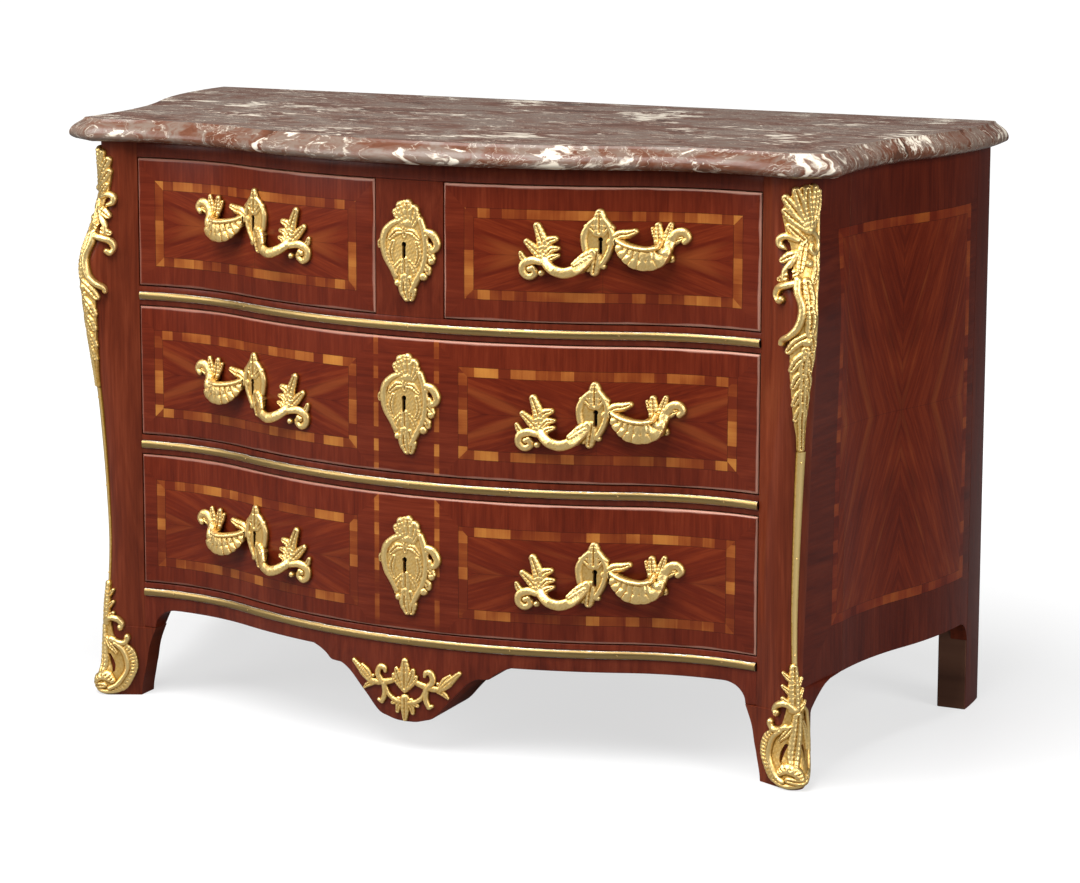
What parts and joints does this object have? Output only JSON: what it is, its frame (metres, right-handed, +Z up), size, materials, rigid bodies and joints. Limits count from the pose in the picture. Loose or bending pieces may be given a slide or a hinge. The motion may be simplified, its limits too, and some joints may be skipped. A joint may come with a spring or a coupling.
{
  "type": "commode chest",
  "caption": "Serpentine-front commode chest with a moulded marble slab, veneered drawers, brass strips and gilt mounts, on short swept feet.",
  "frame": {"origin": "on the floor, under the middle of the marble slab's box", "axes": "+X to the right as seen from the front, +Y to the back, +Z up; the drawers open towards -Y"},
  "size_m": [1.33, 0.629, 0.86],
  "materials": {
    "marble": "polished",
    "veneer": "polished varnish",
    "dark_veneer": "polished varnish",
    "oak": "bare",
    "gilt_bronze": "gilded",
    "brass": "satin",
    "lock_steel": "dull"
  },
  "bodies": {
    "carcass": {"marble_top": "marble", "left_front_stile": "veneer", "right_front_stile": "veneer", "left_rear_post": "dark_veneer", "right_rear_post": "dark_veneer", "left_side_board": "veneer", "right_side_board": "veneer", "back_boards": "oak", "top_front_rail": "dark_veneer", "upper_drawer_rail": "dark_veneer", "lower_drawer_rail": "dark_veneer", "apron_rail": "dark_veneer", "upper_brass_strip": "brass", "lower_brass_strip": "brass", "apron_brass_strip": "brass", "centre_stile": "dark_veneer", "drawer_divider": "oak", "upper_dust_board": "oak", "lower_dust_board": "oak", "bottom_board": "oak", "centre_stile_key_plate": "gilt_bronze", "apron_mount": "gilt_bronze", "left_chute": "gilt_bronze", "left_corner_fillet": "brass", "left_sabot": "gilt_bronze", "right_chute": "gilt_bronze", "right_corner_fillet": "brass", "right_sabot": "gilt_bronze"},
    "top_left_drawer": {"top_left_drawer_front": "veneer", "top_left_drawer_left_side": "oak", "top_left_drawer_right_side": "oak", "top_left_drawer_bottom": "oak", "top_left_drawer_back": "oak", "top_left_drawer_lock": "lock_steel", "top_left_drawer_pull": "gilt_bronze"},
    "top_right_drawer": {"top_right_drawer_front": "veneer", "top_right_drawer_left_side": "oak", "top_right_drawer_right_side": "oak", "top_right_drawer_bottom": "oak", "top_right_drawer_back": "oak", "top_right_drawer_lock": "lock_steel", "top_right_drawer_pull": "gilt_bronze"},
    "middle_drawer": {"middle_drawer_front": "veneer", "middle_drawer_left_side": "oak", "middle_drawer_right_side": "oak", "middle_drawer_bottom": "oak", "middle_drawer_back": "oak", "middle_drawer_lock": "lock_steel", "middle_drawer_key_plate": "gilt_bronze", "middle_drawer_left_pull": "gilt_bronze", "middle_drawer_right_pull": "gilt_bronze"},
    "bottom_drawer": {"bottom_drawer_front": "veneer", "bottom_drawer_left_side": "oak", "bottom_drawer_right_side": "oak", "bottom_drawer_bottom": "oak", "bottom_drawer_back": "oak", "bottom_drawer_lock": "lock_steel", "bottom_drawer_key_plate": "gilt_bronze", "bottom_drawer_left_pull": "gilt_bronze", "bottom_drawer_right_pull": "gilt_bronze"}
  },
  "joints": [
    {"name": "top_left_drawer_slide", "type": "slide", "parent": "carcass", "child": "top_left_drawer", "axis": [0, -1, 0], "range_m": [0, 0.38]},
    {"name": "top_right_drawer_slide", "type": "slide", "parent": "carcass", "child": "top_right_drawer", "axis": [0, -1, 0], "range_m": [0, 0.38]},
    {"name": "middle_drawer_slide", "type": "slide", "parent": "carcass", "child": "middle_drawer", "axis": [0, -1, 0], "range_m": [0, 0.38]},
    {"name": "bottom_drawer_slide", "type": "slide", "parent": "carcass", "child": "bottom_drawer", "axis": [0, -1, 0], "range_m": [0, 0.38]}
  ]
}
